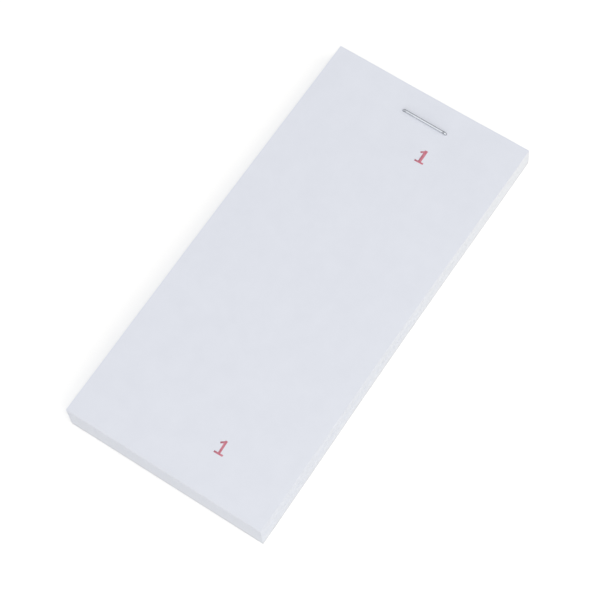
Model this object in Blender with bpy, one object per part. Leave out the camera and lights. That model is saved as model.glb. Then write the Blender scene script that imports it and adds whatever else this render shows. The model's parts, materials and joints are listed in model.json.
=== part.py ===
"""Stapled order pad: a block of numbered leaves on a backing board, held at the head by one wire staple.

Units are metres. X runs across the pad, +Y points to the stapled head and +Z is up. The origin is the
middle of the backing board's underside. The staple presses the leaves together at the head and they lie
loose at the foot, so each leaf slopes up a little more than the one under it. The top leaves are modelled
one by one: each is a stub under the staple and a sheet that turns up and over the head on its own fold.
"""

import math

import bmesh
import bpy
from mathutils import Matrix, Vector

MM = 0.001

# Pad
PAD_WIDTH = 64.0 * MM
PAD_LENGTH = 135.0 * MM
BOARD_THICKNESS = 1.1 * MM
LEAF_COUNT = 100
LEAF_THICKNESS = 0.062 * MM
LEAF_GAP = 0.005 * MM  # air at the head between two leaves, and between the last leaf and the board
FOOT_LOFT = 3.1 * MM  # the top leaf's foot above its head, from the air between the loose leaves

# Leaves that turn: a lower leaf has to bend round the ones above it, so its fold lies nearer the foot
TURNING_LEAVES = 12
FOLD_FROM_STAPLE = 3.8 * MM
FOLD_STEP = 0.35 * MM
FOLD_GAP = 0.02 * MM

# Leaves below those, bound in short blocks
LEAVES_PER_BLOCK = 4

# Staple
STAPLE_FROM_HEAD = 8.05 * MM
STAPLE_OFF_CENTRE = 2.05 * MM
STAPLE_TILT = math.radians(-0.6)
STAPLE_CROWN = 14.9 * MM  # across the outsides of the legs
STAPLE_SEAT = 0.02 * MM  # crown above the top leaf
WIRE_DIAMETER = 0.7 * MM
BEND_INSIDE_RADIUS = 0.1 * MM
CLINCH_LENGTH = 5.2 * MM  # from a leg's axis to the tip of its bent tail
CLINCH_SETBACK = 0.05 * MM  # tail above the board's underside, so that the board lies flat
PIERCING_CLEARANCE = 0.05 * MM  # round a leg, in the leaves and the board
CLINCH_CLEARANCE = 0.08 * MM  # round a tail, in the board

# Facets
BEND_STEPS = 8
WIRE_RESOLUTION = 4
PIERCING_SIDES = 12
CUT_OVERSHOOT = 1.0 * MM

HEAD_Y = PAD_LENGTH / 2
FOOT_Y = -PAD_LENGTH / 2
LEAF_PITCH = LEAF_THICKNESS + LEAF_GAP
PAD_TOP = BOARD_THICKNESS + LEAF_COUNT * LEAF_PITCH
STAPLE_Y = HEAD_Y - STAPLE_FROM_HEAD
WIRE_RADIUS = WIRE_DIAMETER / 2
BEND_RADIUS = WIRE_RADIUS + BEND_INSIDE_RADIUS
LEG_REACH = STAPLE_CROWN / 2 - WIRE_RADIUS
TAIL_Z = CLINCH_SETBACK + WIRE_RADIUS


def clear_scene():
    for old in list(bpy.data.objects):
        bpy.data.objects.remove(old, do_unlink=True)


def make_material(name, colour, roughness, metallic=0.0):
    material = bpy.data.materials.new(name)
    material.use_nodes = True
    shader = material.node_tree.nodes["Principled BSDF"]
    shader.inputs["Base Color"].default_value = (*colour, 1.0)
    shader.inputs["Roughness"].default_value = roughness
    shader.inputs["Metallic"].default_value = metallic
    material.diffuse_color = (*colour, 1.0)
    return material


def add_object(name, data, material=None):
    made = bpy.data.objects.new(name, data)
    bpy.context.scene.collection.objects.link(made)
    if material:
        data.materials.append(material)
    return made


def mesh_from(name, shape):
    mesh = bpy.data.meshes.new(name)
    shape.to_mesh(mesh)
    shape.free()
    return mesh


def leaf_top(number):
    """Height of a leaf's upper face at the head; leaf 1 is the top one."""
    return PAD_TOP - (number - 1) * LEAF_PITCH


def loft(number):
    """A leaf's foot above its head: each loose leaf under it adds the same share."""
    return FOOT_LOFT * (LEAF_COUNT + 1 - number) / LEAF_COUNT


def leaf_height(number, y):
    """Height of a leaf's upper face at a place along the pad."""
    return leaf_top(number) + loft(number) * (HEAD_Y - y) / PAD_LENGTH


def fold_y(number):
    return STAPLE_Y - FOLD_FROM_STAPLE - (number - 1) * FOLD_STEP


def crown_height():
    return leaf_height(1, STAPLE_Y) + STAPLE_SEAT + WIRE_RADIUS


def staple_point(across, height):
    """A point in the staple's own upright plane: across from its middle, at a height above the table."""
    return Vector((
        STAPLE_OFF_CENTRE + across * math.cos(STAPLE_TILT),
        STAPLE_Y + across * math.sin(STAPLE_TILT),
        height,
    ))


def plate(name, y_range, z_range, material):
    """A flat piece as wide as the pad."""
    low, high = y_range
    bottom, top = z_range
    centre = Vector((0.0, (low + high) / 2, (bottom + top) / 2))
    size = Matrix.Diagonal((PAD_WIDTH, high - low, top - bottom, 1.0))
    shape = bmesh.new()
    bmesh.ops.create_cube(shape, size=1.0, matrix=Matrix.Translation(centre) @ size)
    return add_object(name, mesh_from(name, shape), material)


def make_cutter(name, shape):
    cutter = add_object(name, mesh_from(name, shape))
    cutter.hide_render = True
    cutter.display_type = "WIRE"
    return cutter


def extrude_outline(shape, outline, travel):
    """Adds a prism to shape; the outline's points are in order round one end of it."""
    ring = [shape.verts.new(point) for point in outline]
    face = shape.faces.new(ring)
    grown = bmesh.ops.extrude_face_region(shape, geom=[face], use_keep_orig=True)
    moved = [item for item in grown["geom"] if isinstance(item, bmesh.types.BMVert)]
    bmesh.ops.translate(shape, verts=moved, vec=travel)
    bmesh.ops.recalc_face_normals(shape, faces=shape.faces)


def piercing_outline(side):
    """Hole round one leg, lengthened towards the staple's middle by the inside of its bends."""
    radius = (WIRE_RADIUS + PIERCING_CLEARANCE) / math.cos(math.pi / PIERCING_SIDES)
    outline = []
    for step in range(PIERCING_SIDES):
        angle = 2 * math.pi * (step + 0.5) / PIERCING_SIDES
        across = side * LEG_REACH + radius * math.cos(angle)
        if side * math.cos(angle) < 0:
            across -= side * BEND_INSIDE_RADIUS
        point = staple_point(across, -CUT_OVERSHOOT)
        along = radius * math.sin(angle)
        outline.append(point + Vector((-math.sin(STAPLE_TILT), math.cos(STAPLE_TILT), 0.0)) * along)
    return outline


def clinch_outline(side):
    """Groove for one tail, from its tip to its leg."""
    half_width = WIRE_RADIUS + CLINCH_CLEARANCE
    tip = side * (LEG_REACH - CLINCH_LENGTH - CLINCH_CLEARANCE)
    ends = sorted((tip, side * LEG_REACH))
    along = Vector((-math.sin(STAPLE_TILT), math.cos(STAPLE_TILT), 0.0)) * half_width
    low, high = (staple_point(across, -CUT_OVERSHOOT) for across in ends)
    return [low - along, high - along, high + along, low + along]


def staple_cutters():
    legs = bmesh.new()
    tails = bmesh.new()
    through = Vector((0.0, 0.0, crown_height() + 2 * CUT_OVERSHOOT))
    groove = Vector((0.0, 0.0, TAIL_Z + WIRE_RADIUS + CLINCH_CLEARANCE + CUT_OVERSHOOT))
    for side in (-1, 1):
        extrude_outline(legs, piercing_outline(side), through)
        extrude_outline(tails, clinch_outline(side), groove)
    return [make_cutter("leg_piercings", legs), make_cutter("clinch_grooves", tails)]


def pierce(piece, cutters):
    for cutter in cutters:
        cut = piece.modifiers.new(cutter.name, "BOOLEAN")
        cut.operation = "DIFFERENCE"
        cut.object = cutter


def bend(centre_across, centre_height, start, end):
    """Points round one bend of the wire, between two angles measured from the across direction."""
    points = []
    for step in range(BEND_STEPS + 1):
        angle = math.radians(start + (end - start) * step / BEND_STEPS)
        points.append((
            centre_across + BEND_RADIUS * math.cos(angle),
            centre_height + BEND_RADIUS * math.sin(angle),
        ))
    return points


def staple_path():
    """Wire's centre line from the left tail's tip, up, along the crown and down to the right tail's tip."""
    turn = LEG_REACH - BEND_RADIUS
    tip = LEG_REACH - CLINCH_LENGTH
    left = [(-tip, TAIL_Z)]
    left += bend(-turn, TAIL_Z + BEND_RADIUS, 270, 180)
    left += bend(-turn, crown_height() - BEND_RADIUS, 180, 90)
    right = [(-across, height) for across, height in reversed(left)]
    return [staple_point(across, height) for across, height in left + right]


def make_staple(material):
    curve = bpy.data.curves.new("staple", "CURVE")
    curve.dimensions = "3D"
    curve.bevel_depth = WIRE_RADIUS
    curve.bevel_resolution = WIRE_RESOLUTION
    curve.use_fill_caps = True
    path = staple_path()
    wire = curve.splines.new("POLY")
    wire.points.add(len(path) - 1)
    for point, place in zip(wire.points, path):
        point.co = (*place, 1.0)
    wire.use_smooth = True
    return add_object("staple", curve, material)


def make_board(material, cutters):
    board = plate("backing_board", (FOOT_Y, HEAD_Y), (0.0, BOARD_THICKNESS), material)
    pierce(board, cutters)


def make_turning_leaf(number, material, cutters):
    """The stub stays under the staple. Stub and sheet have their origin on the fold, in the upper face."""
    fold = fold_y(number)
    slope = math.atan2(loft(number), PAD_LENGTH)
    to_head = (HEAD_Y - fold) / math.cos(slope)
    to_foot = (fold - FOOT_Y) / math.cos(slope)
    heights = (-LEAF_THICKNESS, 0.0)
    stub = plate(f"leaf_{number:02d}_stub", (FOLD_GAP / 2, to_head), heights, material)
    sheet = plate(f"leaf_{number:02d}_sheet", (-to_foot, -FOLD_GAP / 2), heights, material)
    for piece in (stub, sheet):
        piece.location = (0.0, fold, leaf_height(number, fold))
        piece.rotation_euler.x = -slope
    pierce(stub, cutters)


def make_block(first, last, material, cutters):
    """A wedge of leaves, from the upper face of the first to the lower face of the last."""
    name = f"leaves_{first:03d}_to_{last:03d}"
    side = -PAD_WIDTH / 2
    outline = [
        (side, HEAD_Y, leaf_top(first)),
        (side, HEAD_Y, leaf_top(last) - LEAF_THICKNESS),
        (side, FOOT_Y, leaf_top(last) - LEAF_THICKNESS + loft(last + 1)),
        (side, FOOT_Y, leaf_height(first, FOOT_Y)),
    ]
    shape = bmesh.new()
    extrude_outline(shape, outline, Vector((PAD_WIDTH, 0.0, 0.0)))
    block = add_object(name, mesh_from(name, shape), material)
    pierce(block, cutters)


def main():
    clear_scene()
    paper = make_material("leaf_paper", (0.80, 0.83, 0.90), 0.85)
    board = make_material("backing_card", (0.72, 0.73, 0.74), 0.9)
    steel = make_material("staple_wire", (0.62, 0.63, 0.65), 0.3, 1.0)
    cutters = staple_cutters()
    make_board(board, cutters)
    for number in range(1, TURNING_LEAVES + 1):
        make_turning_leaf(number, paper, cutters)
    for first in range(TURNING_LEAVES + 1, LEAF_COUNT + 1, LEAVES_PER_BLOCK):
        make_block(first, min(first + LEAVES_PER_BLOCK - 1, LEAF_COUNT), paper, cutters)
    make_staple(steel)


main()
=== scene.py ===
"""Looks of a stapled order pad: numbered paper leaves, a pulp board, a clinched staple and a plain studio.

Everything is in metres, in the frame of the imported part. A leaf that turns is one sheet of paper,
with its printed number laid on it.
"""

import json
import math
import random

import bpy
from mathutils import Matrix, Quaternion, Vector


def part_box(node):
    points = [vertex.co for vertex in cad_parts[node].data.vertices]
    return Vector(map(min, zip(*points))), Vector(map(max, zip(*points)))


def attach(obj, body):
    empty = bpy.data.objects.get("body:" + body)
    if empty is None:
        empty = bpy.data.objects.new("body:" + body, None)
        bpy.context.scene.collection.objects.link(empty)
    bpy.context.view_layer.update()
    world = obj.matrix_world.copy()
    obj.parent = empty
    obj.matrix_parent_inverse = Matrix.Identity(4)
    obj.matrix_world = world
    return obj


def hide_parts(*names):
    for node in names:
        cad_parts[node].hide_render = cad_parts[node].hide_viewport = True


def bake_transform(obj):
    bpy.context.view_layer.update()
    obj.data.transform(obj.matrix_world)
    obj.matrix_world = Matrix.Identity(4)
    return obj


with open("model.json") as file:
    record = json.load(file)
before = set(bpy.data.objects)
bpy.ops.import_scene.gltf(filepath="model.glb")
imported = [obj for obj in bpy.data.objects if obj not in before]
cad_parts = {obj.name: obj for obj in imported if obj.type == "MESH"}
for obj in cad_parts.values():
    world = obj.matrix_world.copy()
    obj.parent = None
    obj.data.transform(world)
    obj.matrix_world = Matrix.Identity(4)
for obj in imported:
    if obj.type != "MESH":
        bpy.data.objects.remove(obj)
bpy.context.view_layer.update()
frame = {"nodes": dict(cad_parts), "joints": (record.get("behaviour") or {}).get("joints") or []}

MM = 0.001
WELD = 0.0001 * MM  # points nearer than this count as one

# Pad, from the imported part
BOARD_LOW, BOARD_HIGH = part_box("backing_board")
PAD_WIDTH = BOARD_HIGH.x - BOARD_LOW.x
PAD_LENGTH = BOARD_HIGH.y - BOARD_LOW.y
HEAD_Y = BOARD_HIGH.y
FOOT_Y = BOARD_LOW.y
FOLDS = [Vector(joint["pos_m"]) for joint in frame["joints"]]
BLOCKS = sorted(node for node in frame["nodes"] if node.startswith("leaves_"))
LEAF_COUNT = int(BLOCKS[-1].split("_")[-1])

# Paper
LEAF_THICKNESS = 0.062 * MM
BEND_ZONE = 4.0 * MM  # length of a leaf's bend, from its fold towards the foot
ROW_AT_BEND = 0.5 * MM
ROW_AT_STAPLE = 1.5 * MM
ROW_BELOW = 7.5 * MM
COLUMN = 2.0 * MM
COARSE = 3  # rows and columns are this much wider on the leaves that never show
PRESS_DEPTH = 0.4 * MM  # the staple's crown presses the leaves down this far
PRESS_REACH = 12.0 * MM
LEAF_SWING = 0.02  # degrees that a leaf may lie askew about the staple
LEAF_SLIP = 0.02 * MM
LEAST_GAP = 0.003 * MM  # air that still shows between two leaves at the foot
MOST_GAP = 0.02 * MM
GAP_POWER = 3  # the higher, the rarer are wide gaps
LEFT_DRAW = -0.17 * MM  # the trimming knife's draw, half-way along each long side
RIGHT_DRAW = -0.38 * MM
SHUFFLE_SEED = 7
STEEP = 0.5  # a face whose normal rises less than this is a cut edge

# Staple
WIRE_DIAMETER = 0.7 * MM
WIRE_SIDES = 28
BEND_STEPS = 10
BEND_RADIUS = 0.45 * MM
TAIL_LENGTH = 5.2 * MM
PIERCING_CLEARANCE = 0.04 * MM
GROOVE_CLEARANCE = 0.07 * MM
CROWN_STEPS = 48
TAIL_STEPS = 8
SMOOTH_ANGLE = math.radians(40)  # sharper edges of the wire stay sharp
HIGHLIGHT_TILT = math.radians(57)  # the crown's painted highlight lies along a line this far over towards the foot
HIGHLIGHT_FULL = math.radians(28)  # angles round the wire from that line at which the painted highlight fades and ends
HIGHLIGHT_END = math.radians(52)
PLAIN_HIGHLIGHT = 0.25  # the share of painted highlight that the wire has elsewhere
BEND_HIGHLIGHT_LEAN = 0.5  # how far outwards the painted highlight spot on a bend faces
BEND_HIGHLIGHT_SPOT = 0.75  # the painted highlight spot reaches only this much of those angles
CREASE_SHADE_INSET = 0.2 * MM  # a band of painted shade lies this far before each bend
CREASE_SHADE_WIDTH = 0.28 * MM
LEFT_CREASE_SHADE = 0.5  # the painted shade before the left bends is only this deep
LEFT_HIGHLIGHT_LOSS = 0.15  # share of the painted highlight that is left out near the left bends
HIGHLIGHT_LOSS_START = 0.45  # shares of the crown's half between which that loss of painted highlight sets in
HIGHLIGHT_LOSS_FULL = 0.75
STAPLE_LOW, STAPLE_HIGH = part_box("staple")
STAPLE_MIDDLE = (STAPLE_LOW + STAPLE_HIGH) / 2
STAPLE_SPAN = STAPLE_HIGH - STAPLE_LOW
STAPLE_TILT = -math.asin((STAPLE_SPAN.y - WIRE_DIAMETER) / (STAPLE_SPAN.x - WIRE_DIAMETER))
LEG_REACH = (STAPLE_SPAN.x - WIRE_DIAMETER) / math.cos(STAPLE_TILT) / 2

# Printed numbers: middle of the last figure's base, how far the print is turned, and how bold its pen is
NUMBER_PLACES = (
    (Vector((7.67, 47.45, 0.0)) * MM, math.radians(1.6), 1.0),
    (Vector((10.12, -55.67, 0.0)) * MM, math.radians(2.1), 0.76),
)
FIGURE_UNIT = 1.035 * MM  # figures are drawn 4.3 of these high
FIGURE_STEP = 3.1 * MM
STROKE = 0.68
STEM_STROKE = 0.92
SLAB_STROKE = 0.55
ARC_STEP = 15  # degrees between the points of a round stroke
INK_FILM = 0.002 * MM
INK_LIFT = 0.0005 * MM
NUMBERED_LEAVES = len(FOLDS) + 1

# Board
BOARD_BEVEL = 0.06 * MM

# Finishes: linear colours, then the grain of each material
WHITE = (1.0, 1.0, 1.0)
PAPER_THIN = (0.765, 0.793, 0.884)
PAPER_DENSE = (0.785, 0.813, 0.904)
PAPER_EDGE = (0.79, 0.81, 0.867)
INK_FULL = (0.53, 0.14, 0.20)
INK_THIN = (0.655, 0.275, 0.345)
CARD_DARK = (0.70, 0.715, 0.755)
CARD_LIGHT = (0.77, 0.785, 0.825)
CARD_PLY = (0.94, 0.94, 0.945)
CARD_FLECK = (0.59, 0.59, 0.58)
# the wire's two colours are painted shade and a painted highlight
WIRE_PAINTED_SHADE = (0.2, 0.212, 0.235)
WIRE_PAINTED_HIGHLIGHT = (0.79, 0.815, 0.86)
NOISE_MIDDLE = (0.3, 0.7)  # most of a noise lies between these
FIBRE_LENGTHWISE = (1.0, 0.25, 1.0)  # fibres are drawn out along the sheet or across it
FIBRE_CROSSWISE = (0.3, 1.0, 1.0)
FIBRE_TURN = 1.1  # radians by which the second pattern is turned, so that it differs from the first
FLECK_RANGE = (0.71, 0.76)  # only the strongest fibres show as flecks
PLY_GRAIN = (60.0, 60.0, 5200.0)
WIRE_GRAIN = (300.0, 9000.0, 9000.0)

# Studio
CAMERA_AZIMUTH = math.radians(41.545)
CAMERA_ELEVATION = math.radians(66.531)
CAMERA_ROLL = math.radians(8.356)
CAMERA_DISTANCE = 642.29 * MM
CAMERA_TARGET = Vector((0.559, -3.005, 0.0)) * MM
CAMERA_LENS = 137.504
CAMERA_SENSOR = 36.0
FLOOR_SIZE = 6.0
FLOOR_DROP = 0.02 * MM
FLOOR_COLOUR = (0.9, 0.9, 0.9, 1.0)
FLOOR_GLOW = (0.28, 0.28, 0.28, 1.0)  # only where the floor is looked at, so that it reads as white
FAR_GLOW = 1.85  # times as much glow away from the lamps
LIT_FLOOR = 0.25  # distances from the pad between which the lamps fade
DIM_FLOOR = 1.2
WORLD_LEVEL = 0.57  # light from the white surroundings
WARM_LIGHT = (1.0, 0.97, 0.85)

rng = random.Random(SHUFFLE_SEED)


# Modelling helpers

def start_fresh():
    bpy.ops.object.select_all(action="DESELECT")


def take(piece):
    """Makes a piece the only selected and active one."""
    start_fresh()
    piece.select_set(True)
    bpy.context.view_layer.objects.active = piece


def settle(piece):
    """Puts a piece's place, turn and size into its mesh."""
    take(piece)
    bpy.ops.object.transform_apply(location=True, rotation=True, scale=True)


def add_modifier(piece, kind, **values):
    take(piece)
    modifier = piece.modifiers.new(kind.title(), kind)
    for name, value in values.items():
        setattr(modifier, name, value)
    bpy.ops.object.modifier_apply(modifier=modifier.name)


def cut_away(piece, cutter):
    add_modifier(piece, "BOOLEAN", operation="DIFFERENCE", object=cutter)


def copy_of(piece, name):
    twin = piece.copy()
    twin.data = piece.data.copy()
    twin.name = twin.data.name = name
    bpy.context.scene.collection.objects.link(twin)
    return twin


def join(pieces, name):
    take(pieces[0])
    for piece in pieces:
        piece.select_set(True)
    bpy.ops.object.join()
    pieces[0].name = pieces[0].data.name = name
    return pieces[0]


def drop(piece):
    bpy.data.objects.remove(piece, do_unlink=True)


def slice_at(piece, places, axis):
    """Cuts new edge lines into a piece, square to an axis, at each of the places along it."""
    take(piece)
    bpy.ops.object.mode_set(mode="EDIT")
    normal = Vector((axis == 0, axis == 1, axis == 2))
    for place in places:
        bpy.ops.mesh.select_all(action="SELECT")
        bpy.ops.mesh.bisect(plane_co=normal * place, plane_no=normal, threshold=WELD)
    bpy.ops.object.mode_set(mode="OBJECT")


def weld(piece):
    """Merges points that cuts have left in one place, and clears slivers and loose edges."""
    take(piece)
    bpy.ops.object.mode_set(mode="EDIT")
    bpy.ops.mesh.select_all(action="SELECT")
    bpy.ops.mesh.remove_doubles(threshold=WELD)
    bpy.ops.mesh.dissolve_degenerate(threshold=WELD)
    bpy.ops.mesh.select_all(action="SELECT")
    bpy.ops.mesh.delete_loose()
    bpy.ops.object.mode_set(mode="OBJECT")


def smooth_step(start, end, value):
    """0 before the start and 1 past the end, with a smooth rise between them."""
    t = min(max((value - start) / (end - start), 0.0), 1.0)
    return t * t * (3.0 - 2.0 * t)


# Leaves

def leaf_ends():
    """Heights of the upper faces of the first and last turning leaf, each at the head and at the foot."""
    ends = []
    for number in (1, len(FOLDS)):
        fold = FOLDS[number - 1]
        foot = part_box(f"leaf_{number:02d}_sheet")[1].z
        slope = (foot - fold.z) / (fold.y - FOOT_Y)
        ends.append((fold.z - slope * (HEAD_Y - fold.y), foot))
    return ends


LEAF_ENDS = leaf_ends()


def leaf_height(number, y):
    """Height of a leaf's upper face before the staple presses it, stepping evenly down the pad."""
    (head, foot), (last_head, last_foot) = LEAF_ENDS
    down = (number - 1) / (len(FOLDS) - 1)
    head += (last_head - head) * down
    foot += (last_foot - foot) * down
    return head + (foot - head) * (HEAD_Y - y) / PAD_LENGTH


def press(x, y):
    """How far the crown presses the top leaf down at a place."""
    turned = Matrix.Rotation(-STAPLE_TILT, 2) @ Vector((x - STAPLE_MIDDLE.x, y - STAPLE_MIDDLE.y))
    beyond = max(abs(turned.x) - LEG_REACH, 0.0)
    distance = math.hypot(beyond, turned.y)
    return PRESS_DEPTH * math.exp(-(distance / PRESS_REACH) ** 2)


def knife_draw(x, y):
    """How far across the pad the knife's draw moves a place: nothing at the ends of a long side."""
    along = 2.0 * y / PAD_LENGTH
    across = (x - BOARD_LOW.x) / PAD_WIDTH
    most = LEFT_DRAW + (RIGHT_DRAW - LEFT_DRAW) * across
    return most * (1.0 - along * along) ** 2


def shuffle_leaves():
    """For each leaf a small turn about the staple, a slip along the pad and the air under its foot."""
    shuffles = []
    for _ in range(LEAF_COUNT):
        swing = math.radians(rng.uniform(-LEAF_SWING, LEAF_SWING))
        slip = rng.uniform(-LEAF_SLIP, 0.0)
        gap = LEAST_GAP + (MOST_GAP - LEAST_GAP) * rng.random() ** GAP_POWER
        shuffles.append((swing, slip, gap))
    return shuffles


SHUFFLES = shuffle_leaves()


def lay(piece, number):
    """Moves the points of a flat piece onto a leaf of the pad, where height 0 is the leaf's upper face.

    Loose paper is a little wavy, so towards the foot its waves fill most of the air under each leaf.
    """
    swing, slip, gap = SHUFFLES[number - 1]
    share = (LEAF_COUNT + 1 - number) / LEAF_COUNT
    foot_room = leaf_height(number, FOOT_Y) - leaf_height(number + 1, FOOT_Y) - gap
    swell = foot_room / LEAF_THICKNESS - 1.0
    for vertex in piece.data.vertices:
        x, y, z = vertex.co
        down = (HEAD_Y - y) / PAD_LENGTH
        height = leaf_height(number, y) - share * press(x, y)
        if z < 0.0:
            z *= 1.0 + swell * down
        across = x + knife_draw(x, y) + swing * (STAPLE_MIDDLE.y - y)
        vertex.co = (across, y + slip, height + z)


def rows(spacing=1):
    """Places of a sheet's cross lines: close together where leaves bend, wider towards the foot."""
    places = []
    y = HEAD_Y
    bend_from = FOLDS[0].y + ROW_AT_BEND
    bend_to = FOLDS[-1].y - BEND_ZONE
    while y > FOOT_Y:
        step = ROW_BELOW
        if y > bend_from:
            step = ROW_AT_STAPLE
        elif y > bend_to:
            step = ROW_AT_BEND
        y -= step * spacing
        if y > FOOT_Y + ROW_AT_BEND:
            places.append(y)
    return places


def columns(spacing):
    count = round(PAD_WIDTH / COLUMN / spacing)
    return [BOARD_LOW.x + PAD_WIDTH * step / count for step in range(1, count)]


def make_flat_sheet(name, spacing, cutter):
    """One loose sheet, its upper face at height 0, ruled into rows and columns and pierced by the legs."""
    start_fresh()
    middle_height = STAPLE_MIDDLE.z
    bpy.ops.mesh.primitive_plane_add(size=1.0, location=(0.0, 0.0, middle_height))
    sheet = bpy.context.object
    sheet.name = name
    sheet.scale = (PAD_WIDTH, PAD_LENGTH, 1.0)
    settle(sheet)
    slice_at(sheet, rows(spacing), 1)
    slice_at(sheet, columns(spacing), 0)
    add_modifier(sheet, "SOLIDIFY", thickness=LEAF_THICKNESS, offset=-1.0)
    cut_away(sheet, cutter)
    sheet.location.z = -middle_height
    settle(sheet)
    mark_cut_edges(sheet)
    return sheet


def mark_cut_edges(sheet):
    """Marks the narrow faces that the knife left, for the paper's finish."""
    marks = sheet.data.attributes.new("cut_edge", "FLOAT", "FACE")
    for mark, face in zip(marks.data, sheet.data.polygons):
        mark.value = float(abs(face.normal.z) < STEEP)


def make_turning_leaf(number, flat_sheet, paper):
    leaf = copy_of(flat_sheet, f"leaf_{number:02d}")
    lay(leaf, number)
    leaf.data.materials.append(paper)
    bend_leaf(leaf)
    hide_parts(f"leaf_{number:02d}_stub", f"leaf_{number:02d}_sheet")


def bend_leaf(piece):
    """Puts a piece's place, turn and size into its mesh; the piece is not bent."""
    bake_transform(piece)


def make_block(node, flat_sheet, paper):
    """A run of leaves that stay in the block, as separate sheets in one piece."""
    first, last = (int(part) for part in node.split("_")[1::2])
    sheets = []
    for number in range(first, last + 1):
        sheet = copy_of(flat_sheet, f"{node}_sheet_{number}")
        lay(sheet, number)
        sheets.append(sheet)
    block = join(sheets, f"paper_{first:03d}_to_{last:03d}")
    block.data.materials.append(paper)
    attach(block, "stapled_block")
    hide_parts(node)


# Printed numbers

def arc(centre, radii, start, end):
    """Points round part of an ellipse."""
    count = max(2, round(abs(end - start) / ARC_STEP))
    angles = [math.radians(start + (end - start) * step / count) for step in range(count + 1)]
    return [(centre[0] + radii[0] * math.cos(a), centre[1] + radii[1] * math.sin(a)) for a in angles]


def ring(centre, radii):
    return arc(centre, radii, 0, 360)[:-1]


def digit_strokes(digit, bold):
    """Strokes of a plain slab figure, as (points, width, closed) in figure units."""
    pen = STROKE * bold
    return {
        "0": [(ring((0, 2.15), (1.05, 1.84)), pen, True)],
        "1": [
            ([(0.08, 0.1), (0.08, 4.3)], STEM_STROKE * bold, False),
            ([(-1.18, 3.1), (0.1, 3.95)], SLAB_STROKE, False),
            ([(-1.36, 0.25), (1.36, 0.25)], SLAB_STROKE, False),
        ],
        "2": [
            (arc((0, 3.0), (1.05, 0.99), 165, -35) + [(-1.0, 0.3)], pen, False),
            ([(-1.25, 0.31), (1.3, 0.31)], pen, False),
        ],
        "3": [
            (arc((-0.05, 3.15), (0.95, 0.84), 155, -90), pen, False),
            (arc((-0.05, 1.3), (1.1, 0.99), 90, -150), pen, False),
        ],
        "4": [
            ([(0.5, 0.0), (0.5, 4.3)], pen, False),
            ([(0.5, 4.1), (-1.15, 1.25)], pen, False),
            ([(-1.35, 1.2), (1.3, 1.2)], pen, False),
        ],
        "5": [
            ([(-1.1, 3.99), (1.05, 3.99)], pen, False),
            ([(-0.8, 4.2), (-0.9, 2.0)], pen, False),
            (arc((-0.05, 1.4), (1.1, 1.09), 140, -150), pen, False),
        ],
        "6": [
            (ring((0, 1.35), (1.05, 1.04)), pen, True),
            (arc((0.55, 1.5), (1.6, 2.5), 180, 95), pen, False),
        ],
        "7": [
            ([(-1.2, 3.99), (1.25, 3.99)], pen, False),
            ([(0.95, 4.0), (-0.35, 0.0)], pen, False),
        ],
        "8": [
            (ring((0, 3.2), (0.85, 0.79)), pen, True),
            (ring((0, 1.3), (1.05, 0.99)), pen, True),
        ],
        "9": [
            (ring((0, 2.95), (1.05, 1.04)), pen, True),
            (arc((-0.55, 2.8), (1.6, 2.5), 0, -85), pen, False),
        ],
    }[digit]


def make_stroke(points, width, closed):
    """A flat line raised to the film's thickness, then widened both ways."""
    curve = bpy.data.curves.new("stroke", "CURVE")
    curve.dimensions = "2D"
    curve.fill_mode = "NONE"
    curve.extrude = INK_FILM / 2
    line = curve.splines.new("POLY")
    line.points.add(len(points) - 1)
    for point, (x, y) in zip(line.points, points):
        point.co = (x * FIGURE_UNIT, y * FIGURE_UNIT, 0.0, 1.0)
    line.use_cyclic_u = closed
    stroke = bpy.data.objects.new("stroke", curve)
    bpy.context.scene.collection.objects.link(stroke)
    take(stroke)
    bpy.ops.object.convert(target="MESH")
    add_modifier(stroke, "SOLIDIFY", thickness=width * FIGURE_UNIT, offset=0.0, use_even_offset=True)
    return stroke


def make_digit(digit, bold):
    strokes = [make_stroke(*stroke) for stroke in digit_strokes(digit, bold)]
    for stroke in strokes[1:]:
        add_modifier(strokes[0], "BOOLEAN", operation="UNION", object=stroke)
        drop(stroke)
    weld(strokes[0])
    strokes[0].location.z = INK_LIFT + INK_FILM / 2
    settle(strokes[0])
    return strokes[0]


def make_digits():
    """Every figure in each boldness, made once and copied for each print."""
    return {
        (digit, bold): make_digit(digit, bold)
        for digit in "0123456789"
        for _, _, bold in NUMBER_PLACES
    }


def make_number(number, digits, ink):
    """The two prints of one leaf's number, cut along the sheet's rows and laid on the leaf."""
    prints = []
    for place, turn, bold in NUMBER_PLACES:
        step = Matrix.Rotation(turn, 3, "Z") @ Vector((FIGURE_STEP, 0.0, 0.0))
        for left, digit in enumerate(reversed(str(number))):
            figure = copy_of(digits[digit, bold], f"figure_{number}")
            figure.location = place - step * left
            figure.rotation_euler.z = turn
            settle(figure)
            prints.append(figure)
    printed = join(prints, f"number_{number:02d}")
    slice_at(printed, rows(), 1)
    lay(printed, number)
    printed.data.materials.append(ink)
    if number <= len(FOLDS):
        bend_leaf(printed)
    else:
        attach(printed, "stapled_block")


# Staple

def extrude_wire(across, up, steps=1):
    for _ in range(steps):
        move = (across / steps, 0.0, up / steps)
        bpy.ops.mesh.extrude_region_move(TRANSFORM_OT_translate={"value": move})


def turn_wire(across, up, angle):
    """Sweeps the wire's open end round a bend about an axis through (across, up)."""
    centre = (across, 0.0, up)
    bpy.ops.mesh.spin(steps=BEND_STEPS, angle=math.radians(angle), center=centre, axis=(0, -1, 0))


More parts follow.
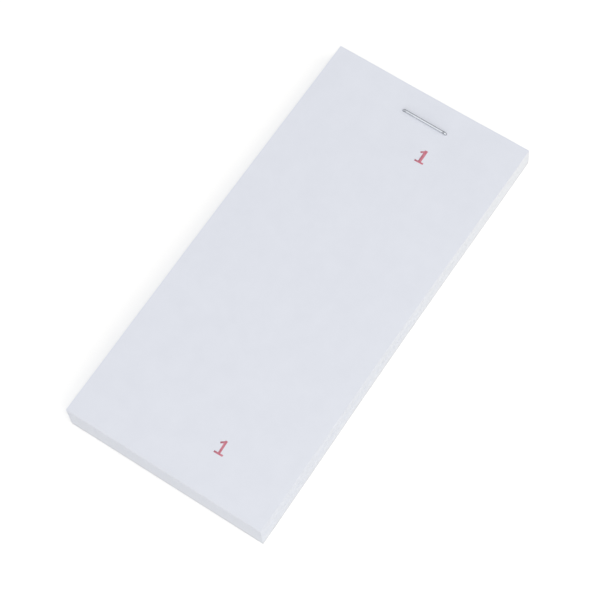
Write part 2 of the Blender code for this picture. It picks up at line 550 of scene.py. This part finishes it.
def make_staple():
    """Round wire, swept from the left tail's tip up the leg, over the crown and down to the other tip."""
    radius = WIRE_DIAMETER / 2
    tail_up = STAPLE_LOW.z + radius
    crown_up = STAPLE_HIGH.z - radius - PRESS_DEPTH
    turn = LEG_REACH - BEND_RADIUS
    leg_length = crown_up - tail_up - 2 * BEND_RADIUS
    tip = (TAIL_LENGTH - LEG_REACH, 0.0, tail_up)
    start_fresh()
    bpy.ops.mesh.primitive_circle_add(
        vertices=WIRE_SIDES, radius=radius, location=tip, rotation=(0.0, math.pi / 2, 0.0))
    staple = bpy.context.object
    staple.name = "wire_staple"
    settle(staple)
    bpy.ops.object.mode_set(mode="EDIT")
    bpy.ops.mesh.select_all(action="SELECT")
    extrude_wire(-turn - tip[0], 0.0, TAIL_STEPS)
    turn_wire(-turn, tail_up + BEND_RADIUS, 90)
    extrude_wire(0.0, leg_length)
    turn_wire(-turn, crown_up - BEND_RADIUS, 90)
    extrude_wire(2 * turn, 0.0, CROWN_STEPS)
    turn_wire(turn, crown_up - BEND_RADIUS, 90)
    extrude_wire(0.0, -leg_length)
    turn_wire(turn, tail_up + BEND_RADIUS, 90)
    extrude_wire(-turn - tip[0], 0.0, TAIL_STEPS)
    cap_wire()
    bpy.ops.object.mode_set(mode="OBJECT")
    # painted highlights and shade, kept in a point attribute that the wire's finish reads
    burnish_wire(staple, turn)
    staple.location = (STAPLE_MIDDLE.x, STAPLE_MIDDLE.y, 0.0)
    staple.rotation_euler.z = STAPLE_TILT
    settle(staple)
    bpy.ops.object.shade_smooth_by_angle(angle=SMOOTH_ANGLE)
    return staple


def cap_wire():
    """Closes both tips."""
    bpy.ops.mesh.select_all(action="SELECT")
    bpy.ops.mesh.remove_doubles(threshold=WELD)
    bpy.ops.mesh.select_all(action="DESELECT")
    bpy.ops.mesh.select_mode(type="EDGE")
    bpy.ops.mesh.select_non_manifold()
    bpy.ops.mesh.fill_holes(sides=WIRE_SIDES)
    bpy.ops.mesh.select_all(action="SELECT")
    bpy.ops.mesh.normals_make_consistent(inside=False)


def burnish_wire(staple, turn):
    """Paints light and shade onto the wire as a point attribute: a painted highlight along crown and tails,
    a painted highlight spot on each bend, and painted shade in a band before each bend.
    """
    marks = staple.data.attributes.new("painted_light", "FLOAT", "POINT")
    for mark, vertex in zip(marks.data, staple.data.vertices):
        across = vertex.co.x
        past = abs(across) - turn
        out = math.copysign(BEND_HIGHLIGHT_LEAN, across) if past > 0.0 else 0.0
        up = 1.0 if vertex.co.z > STAPLE_MIDDLE.z else -1.0
        line = Vector((out, -math.sin(HIGHLIGHT_TILT), up * math.cos(HIGHLIGHT_TILT)))
        reach = BEND_HIGHLIGHT_SPOT if past > 0.0 else 1.0
        # painted highlight: bright where the wire's normal faces the tilted highlight line
        highlight = smooth_step(HIGHLIGHT_END * reach, HIGHLIGHT_FULL * reach, vertex.normal.angle(line))
        # the painted highlight is weaker towards the left bends
        highlight *= 1.0 - LEFT_HIGHLIGHT_LOSS * smooth_step(-HIGHLIGHT_LOSS_START * turn, -HIGHLIGHT_LOSS_FULL * turn, across)
        # painted shade: a dark band across the wire just before each bend
        crease_shade = math.exp(-((past + CREASE_SHADE_INSET) / CREASE_SHADE_WIDTH) ** 2)
        if across < 0.0:
            crease_shade *= LEFT_CREASE_SHADE
        mark.value = max(highlight, PLAIN_HIGHLIGHT) * (1.0 - crease_shade)


def make_cutter(staple):
    """The staple grown by the clearance that it needs in paper and board."""
    cutter = copy_of(staple, "staple_room")
    take(cutter)
    bpy.ops.object.mode_set(mode="EDIT")
    bpy.ops.mesh.select_all(action="SELECT")
    bpy.ops.transform.shrink_fatten(value=PIERCING_CLEARANCE)
    bpy.ops.object.mode_set(mode="OBJECT")
    return cutter


def make_groove(side):
    """Room under one tail, so that it lies open in the board's underside."""
    half_wire = WIRE_DIAMETER / 2 + GROOVE_CLEARANCE
    inner = LEG_REACH - TAIL_LENGTH - GROOVE_CLEARANCE
    outer = LEG_REACH + half_wire
    tail_up = STAPLE_LOW.z + WIRE_DIAMETER / 2
    start_fresh()
    bpy.ops.mesh.primitive_cube_add(size=1.0)
    groove = bpy.context.object
    turned = Matrix.Rotation(STAPLE_TILT, 3, "Z") @ Vector((side * (inner + outer) / 2, 0.0, 0.0))
    groove.location = Vector((STAPLE_MIDDLE.x, STAPLE_MIDDLE.y, 0.0)) + turned
    groove.rotation_euler.z = STAPLE_TILT
    groove.scale = (outer - inner, 2 * half_wire, 2 * tail_up)
    settle(groove)
    return groove


def finish_staple(staple, wire):
    staple.data.materials.append(wire)
    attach(staple, "stapled_block")
    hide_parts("staple")


# Board

def make_board(cutter, card):
    start_fresh()
    bpy.ops.mesh.primitive_cube_add(size=1.0, location=(BOARD_LOW + BOARD_HIGH) / 2)
    board = bpy.context.object
    board.name = "pulp_board"
    board.scale = BOARD_HIGH - BOARD_LOW
    settle(board)
    add_modifier(board, "BEVEL", width=BOARD_BEVEL, segments=2)
    cut_away(board, cutter)
    for side in (-1, 1):
        groove = make_groove(side)
        cut_away(board, groove)
        drop(groove)
    slice_at(board, rows(COARSE), 1)
    for vertex in board.data.vertices:
        vertex.co.x += knife_draw(vertex.co.x, vertex.co.y)
    board.data.materials.append(card)
    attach(board, "stapled_block")
    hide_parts("backing_board")


# Materials

def new_material(name):
    material = bpy.data.materials.new(name)
    material.use_nodes = True
    tree = material.node_tree
    return material, tree, tree.nodes["Principled BSDF"]


def add_node(tree, kind, **values):
    node = tree.nodes.new(kind)
    for name, value in values.items():
        if name in node.inputs:
            node.inputs[name].default_value = value
        else:
            setattr(node, name, value)
    return node


def link(tree, output, node, name):
    tree.links.new(output, node.inputs[name])


def blend_colours(tree, factor, first, second):
    """Mixes two colours, each of them a plain colour or another node's output."""
    mix = add_node(tree, "ShaderNodeMix", data_type="RGBA")
    for name, colour in (("A", first), ("B", second)):
        if isinstance(colour, tuple):
            mix.inputs[name].default_value = (*colour, 1.0)
        else:
            link(tree, colour, mix, name)
    link(tree, factor, mix, "Factor")
    return mix.outputs["Result"]


def fibre_group():
    """Pulp fibre on a piece's own coordinates: soft clouds and fine fibres."""
    group = bpy.data.node_groups.new("pulp_fibre", "ShaderNodeTree")
    for name in ("Cloud Scale", "Fibre Scale"):
        group.interface.new_socket(name, in_out="INPUT", socket_type="NodeSocketFloat")
    for name in ("Cloud", "Fibre"):
        group.interface.new_socket(name, in_out="OUTPUT", socket_type="NodeSocketFloat")
    given = group.nodes.new("NodeGroupInput")
    result = group.nodes.new("NodeGroupOutput")
    place = group.nodes.new("ShaderNodeTexCoord")
    cloud = add_node(group, "ShaderNodeTexNoise", Detail=4.0, Roughness=0.6)
    link(group, place.outputs["Object"], cloud, "Vector")
    link(group, given.outputs["Cloud Scale"], cloud, "Scale")
    link(group, cloud.outputs["Fac"], result, "Cloud")
    lengthwise = add_node(group, "ShaderNodeMapping", Scale=FIBRE_LENGTHWISE)
    turn = (0.0, 0.0, FIBRE_TURN)
    crosswise = add_node(group, "ShaderNodeMapping", Rotation=turn, Scale=FIBRE_CROSSWISE)
    fibres = add_node(group, "ShaderNodeMath", operation="MAXIMUM")
    for socket, lie in enumerate((lengthwise, crosswise)):
        strand = add_node(group, "ShaderNodeTexNoise", Detail=3.0, Roughness=0.7)
        link(group, place.outputs["Object"], lie, "Vector")
        link(group, lie.outputs["Vector"], strand, "Vector")
        link(group, given.outputs["Fibre Scale"], strand, "Scale")
        link(group, strand.outputs["Fac"], fibres, socket)
    link(group, fibres.outputs[0], result, "Fibre")
    return group


def add_fibre(tree, group, cloud_scale, fibre_scale):
    fibre = tree.nodes.new("ShaderNodeGroup")
    fibre.node_tree = group
    fibre.inputs["Cloud Scale"].default_value = cloud_scale
    fibre.inputs["Fibre Scale"].default_value = fibre_scale
    return fibre


def remap(tree, value, source, target):
    """Maps a value from one range onto another."""
    node = add_node(tree, "ShaderNodeMapRange")
    for name, bound in zip(("From Min", "From Max", "To Min", "To Max"), (*source, *target)):
        node.inputs[name].default_value = bound
    link(tree, value, node, "Value")
    return node.outputs["Result"]


def spread(tree, value, low, high):
    """Stretches the middle of a noise over a range of values."""
    return remap(tree, value, NOISE_MIDDLE, (low, high))


def add_bump(tree, shader, height, depth, strength):
    bump = add_node(tree, "ShaderNodeBump", Strength=strength, Distance=depth)
    link(tree, height, bump, "Height")
    link(tree, bump.outputs["Normal"], shader, "Normal")


def paper_material(group):
    """Uncoated writing paper: a cool white, less so where it is cut, with faint clouds and a fine tooth."""
    material, tree, shader = new_material("writing_paper")
    fibre = add_fibre(tree, group, cloud_scale=160.0, fibre_scale=2600.0)
    cut_edge = add_node(tree, "ShaderNodeAttribute", attribute_name="cut_edge")
    clouds = spread(tree, fibre.outputs["Cloud"], 0.0, 1.0)
    face = blend_colours(tree, clouds, PAPER_THIN, PAPER_DENSE)
    link(tree, blend_colours(tree, cut_edge.outputs["Fac"], face, PAPER_EDGE), shader, "Base Color")
    link(tree, spread(tree, fibre.outputs["Fibre"], 0.72, 0.86), shader, "Roughness")
    shader.inputs["Specular IOR Level"].default_value = 0.3
    add_bump(tree, shader, fibre.outputs["Fibre"], depth=0.01 * MM, strength=0.07)
    return material


def ink_material(group):
    """Red numbering ink, squeezed thin in places so that the paper lightens it."""
    material, tree, shader = new_material("red_ink")
    fibre = add_fibre(tree, group, cloud_scale=1500.0, fibre_scale=4000.0)
    thin = spread(tree, fibre.outputs["Cloud"], 0.0, 1.0)
    link(tree, blend_colours(tree, thin, INK_FULL, INK_THIN), shader, "Base Color")
    link(tree, spread(tree, fibre.outputs["Fibre"], 0.5, 0.75), shader, "Roughness")
    shader.inputs["Specular IOR Level"].default_value = 0.3
    return material


def card_material(group):
    """White pulp board: cloudy, flecked with stray fibres, in plies that show on its cut edges."""
    material, tree, shader = new_material("pulp_card")
    fibre = add_fibre(tree, group, cloud_scale=220.0, fibre_scale=1100.0)
    place = add_node(tree, "ShaderNodeTexCoord")
    flat = add_node(tree, "ShaderNodeMapping", Scale=PLY_GRAIN)
    plies = add_node(tree, "ShaderNodeTexNoise", Scale=1.0, Detail=2.0)
    link(tree, place.outputs["Object"], flat, "Vector")
    link(tree, flat.outputs["Vector"], plies, "Vector")
    stray = add_fibre(tree, group, cloud_scale=90.0, fibre_scale=700.0)
    fleck = remap(tree, stray.outputs["Fibre"], FLECK_RANGE, (0.0, 1.0))
    body = blend_colours(tree, spread(tree, fibre.outputs["Cloud"], 0.0, 1.0), CARD_DARK, CARD_LIGHT)
    shade = blend_colours(tree, spread(tree, plies.outputs["Fac"], 0.0, 1.0), CARD_PLY, WHITE)
    plied = add_node(tree, "ShaderNodeMix", data_type="RGBA", blend_type="MULTIPLY")
    plied.inputs["Factor"].default_value = 1.0
    link(tree, body, plied, "A")
    link(tree, shade, plied, "B")
    link(tree, blend_colours(tree, fleck, plied.outputs["Result"], CARD_FLECK), shader, "Base Color")
    link(tree, spread(tree, fibre.outputs["Fibre"], 0.82, 0.95), shader, "Roughness")
    shader.inputs["Specular IOR Level"].default_value = 0.2
    add_bump(tree, shader, fibre.outputs["Fibre"], depth=0.03 * MM, strength=0.35)
    return material


def wire_material():
    """Drawn zinc-coated wire: a dark grey of painted shade, lightened to a painted highlight along its
    outer line, with fine drawing streaks.
    """
    material, tree, shader = new_material("drawn_wire")
    painted_light = add_node(tree, "ShaderNodeAttribute", attribute_name="painted_light")
    place = add_node(tree, "ShaderNodeTexCoord")
    along = add_node(tree, "ShaderNodeMapping", Scale=WIRE_GRAIN)
    streaks = add_node(tree, "ShaderNodeTexNoise", Scale=1.0, Detail=3.0)
    link(tree, place.outputs["Object"], along, "Vector")
    link(tree, along.outputs["Vector"], streaks, "Vector")
    # painted shade and painted highlight, mixed by the painted light attribute and the drawing streaks
    highlight_and_streaks = add_node(tree, "ShaderNodeMath", operation="MULTIPLY")
    link(tree, painted_light.outputs["Fac"], highlight_and_streaks, 0)
    link(tree, spread(tree, streaks.outputs["Fac"], 0.85, 1.0), highlight_and_streaks, 1)
    link(tree, blend_colours(tree, highlight_and_streaks.outputs[0], WIRE_PAINTED_SHADE, WIRE_PAINTED_HIGHLIGHT), shader, "Base Color")
    link(tree, spread(tree, streaks.outputs["Fac"], 0.22, 0.4), shader, "Roughness")
    shader.inputs["Metallic"].default_value = 1.0
    return material


# Studio

def seen_directly(tree):
    """1 for rays that show the surroundings: from the camera, in a reflection or through glass."""
    path = add_node(tree, "ShaderNodeLightPath")
    either = add_node(tree, "ShaderNodeMath", operation="MAXIMUM")
    any_of = add_node(tree, "ShaderNodeMath", operation="MAXIMUM")
    link(tree, path.outputs["Is Camera Ray"], either, 0)
    link(tree, path.outputs["Is Glossy Ray"], either, 1)
    link(tree, either.outputs[0], any_of, 0)
    link(tree, path.outputs["Is Transmission Ray"], any_of, 1)
    return any_of.outputs[0]


def floor_material():
    material, tree, shader = new_material("pale_floor")
    shader.inputs["Base Color"].default_value = FLOOR_COLOUR
    shader.inputs["Roughness"].default_value = 1.0
    shader.inputs["Specular IOR Level"].default_value = 0.0
    shader.inputs["Emission Color"].default_value = FLOOR_GLOW
    place = add_node(tree, "ShaderNodeTexCoord")
    away = add_node(tree, "ShaderNodeVectorMath", operation="LENGTH")
    glow = add_node(tree, "ShaderNodeMath", operation="MULTIPLY")
    link(tree, place.outputs["Object"], away, 0)
    link(tree, remap(tree, away.outputs["Value"], (LIT_FLOOR, DIM_FLOOR), (1.0, FAR_GLOW)), glow, 0)
    link(tree, seen_directly(tree), glow, 1)
    link(tree, glow.outputs[0], shader, "Emission Strength")
    return material


def make_floor():
    start_fresh()
    bpy.ops.mesh.primitive_plane_add(size=FLOOR_SIZE, location=(0.0, 0.0, -FLOOR_DROP))
    floor = bpy.context.object
    floor.name = "floor"
    floor.data.materials.append(floor_material())


def light_world():
    world = bpy.data.worlds.new("studio")
    bpy.context.scene.world = world
    world.use_nodes = True
    tree = world.node_tree
    background = tree.nodes["Background"]
    background.inputs["Color"].default_value = (*WHITE, 1.0)
    level = remap(tree, seen_directly(tree), (0.0, 1.0), (WORLD_LEVEL, 1.0))
    link(tree, level, background, "Strength")


def add_softbox(name, place, size, power, colour=WHITE):
    lamp = bpy.data.lights.new(name, "AREA")
    lamp.shape = "SQUARE"
    lamp.size = size
    lamp.energy = power
    lamp.color = colour
    box = bpy.data.objects.new(name, lamp)
    bpy.context.scene.collection.objects.link(box)
    box.location = place
    box.rotation_euler = Vector(place).to_track_quat("Z", "Y").to_euler()


def add_lights():
    light_world()
    add_softbox("overhead", place=(0.0, 0.0, 0.8), size=0.6, power=1.07)
    add_softbox("right", place=(0.85, -0.05, 0.6), size=1.4, power=5.9, colour=WARM_LIGHT)
    add_softbox("front", place=(0.25, -0.95, 0.3), size=0.6, power=1.55)


def add_camera():
    lens = bpy.data.cameras.new("photo_view")
    lens.lens = CAMERA_LENS
    lens.sensor_width = CAMERA_SENSOR
    camera = bpy.data.objects.new("photo_view", lens)
    bpy.context.scene.collection.objects.link(camera)
    level = math.cos(CAMERA_ELEVATION)
    back = Vector((
        math.sin(CAMERA_AZIMUTH) * level,
        -math.cos(CAMERA_AZIMUTH) * level,
        math.sin(CAMERA_ELEVATION),
    ))
    aim = back.to_track_quat("Z", "Y") @ Quaternion((0.0, 0.0, 1.0), -CAMERA_ROLL)
    camera.matrix_world = Matrix.LocRotScale(CAMERA_TARGET + back * CAMERA_DISTANCE, aim, None)
    bpy.context.scene.camera = camera


def make_pad():
    fibre = fibre_group()
    paper = paper_material(fibre)
    ink = ink_material(fibre)
    staple = make_staple()
    cutter = make_cutter(staple)
    make_board(cutter, card_material(fibre))
    fine_sheet = make_flat_sheet("fine_sheet", 1, cutter)
    plain_sheet = make_flat_sheet("plain_sheet", COARSE, cutter)
    for number in range(1, len(FOLDS) + 1):
        make_turning_leaf(number, fine_sheet, paper)
    for node in BLOCKS:
        make_block(node, fine_sheet if node == BLOCKS[0] else plain_sheet, paper)
    digits = make_digits()
    for number in range(1, NUMBERED_LEAVES + 1):
        make_number(number, digits, ink)
    finish_staple(staple, wire_material())
    for spare in (cutter, fine_sheet, plain_sheet, *digits.values()):
        drop(spare)


def main():
    bpy.context.scene.view_settings.view_transform = "Standard"
    make_pad()
    make_floor()
    add_lights()
    add_camera()


main()
